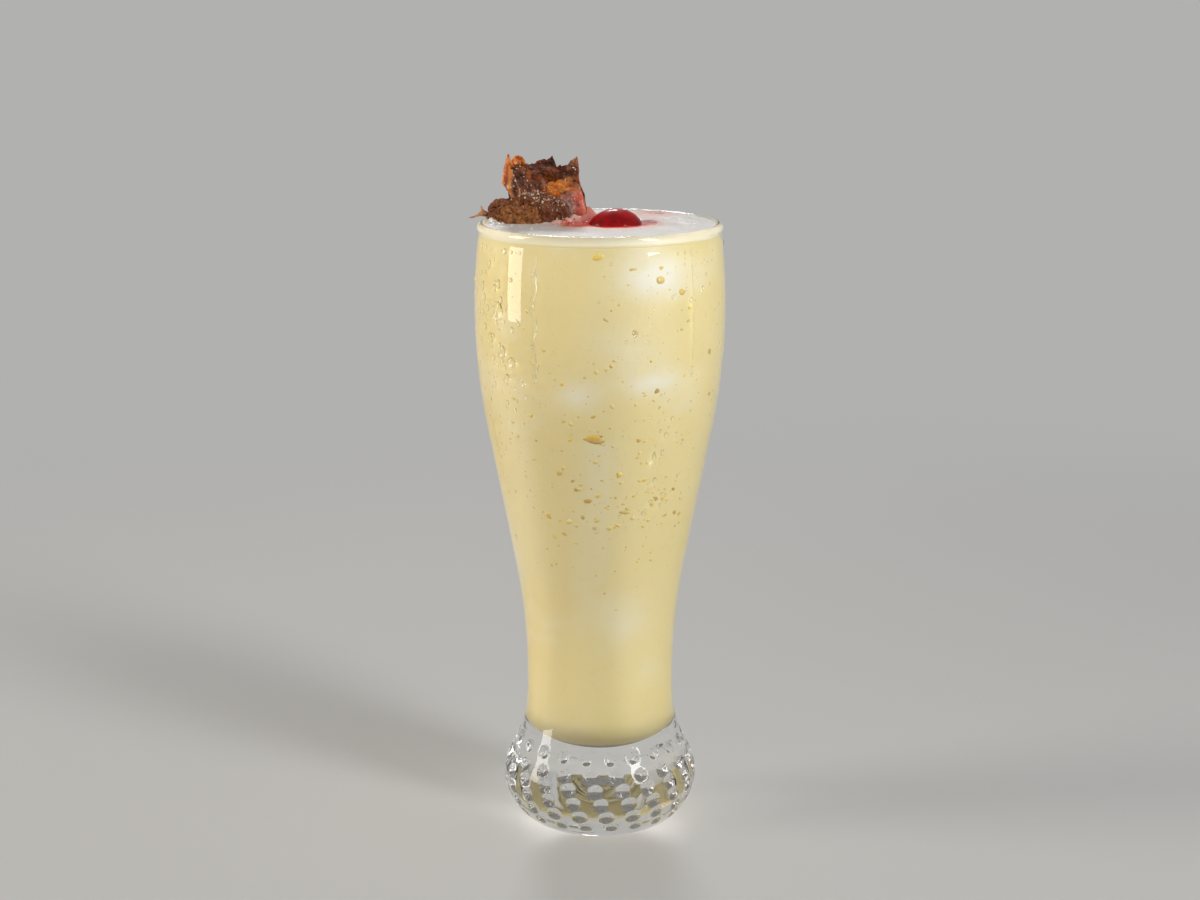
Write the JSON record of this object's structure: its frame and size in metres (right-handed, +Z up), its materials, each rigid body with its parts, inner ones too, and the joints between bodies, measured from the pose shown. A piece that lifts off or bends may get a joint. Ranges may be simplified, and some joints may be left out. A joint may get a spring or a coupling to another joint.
{
  "type": "pina colada lemonade",
  "caption": "Tall clear tumbler with a heavy dimpled base, filled with a creamy pineapple drink and topped with foam, a cherry and dried pineapple.",
  "frame": {"origin": "centre of the flat foot that the glass stands on", "axes": "+Z up along the glass's axis, -Y towards the drinker, the dried pineapple on the -X side"},
  "size_m": [0.0835, 0.0816, 0.2232],
  "materials": {
    "glass": "clear and polished",
    "drink": "opaque pale creamy yellow",
    "foam": "soft white froth",
    "cherry": "glossy deep red",
    "dried_pineapple": "caramelised brown, partly glossy"
  },
  "bodies": {
    "root": {"glass": "glass", "drink": "drink", "foam": "foam", "cherry": "cherry", "dried_pineapple": "dried_pineapple"}
  },
  "joints": []
}
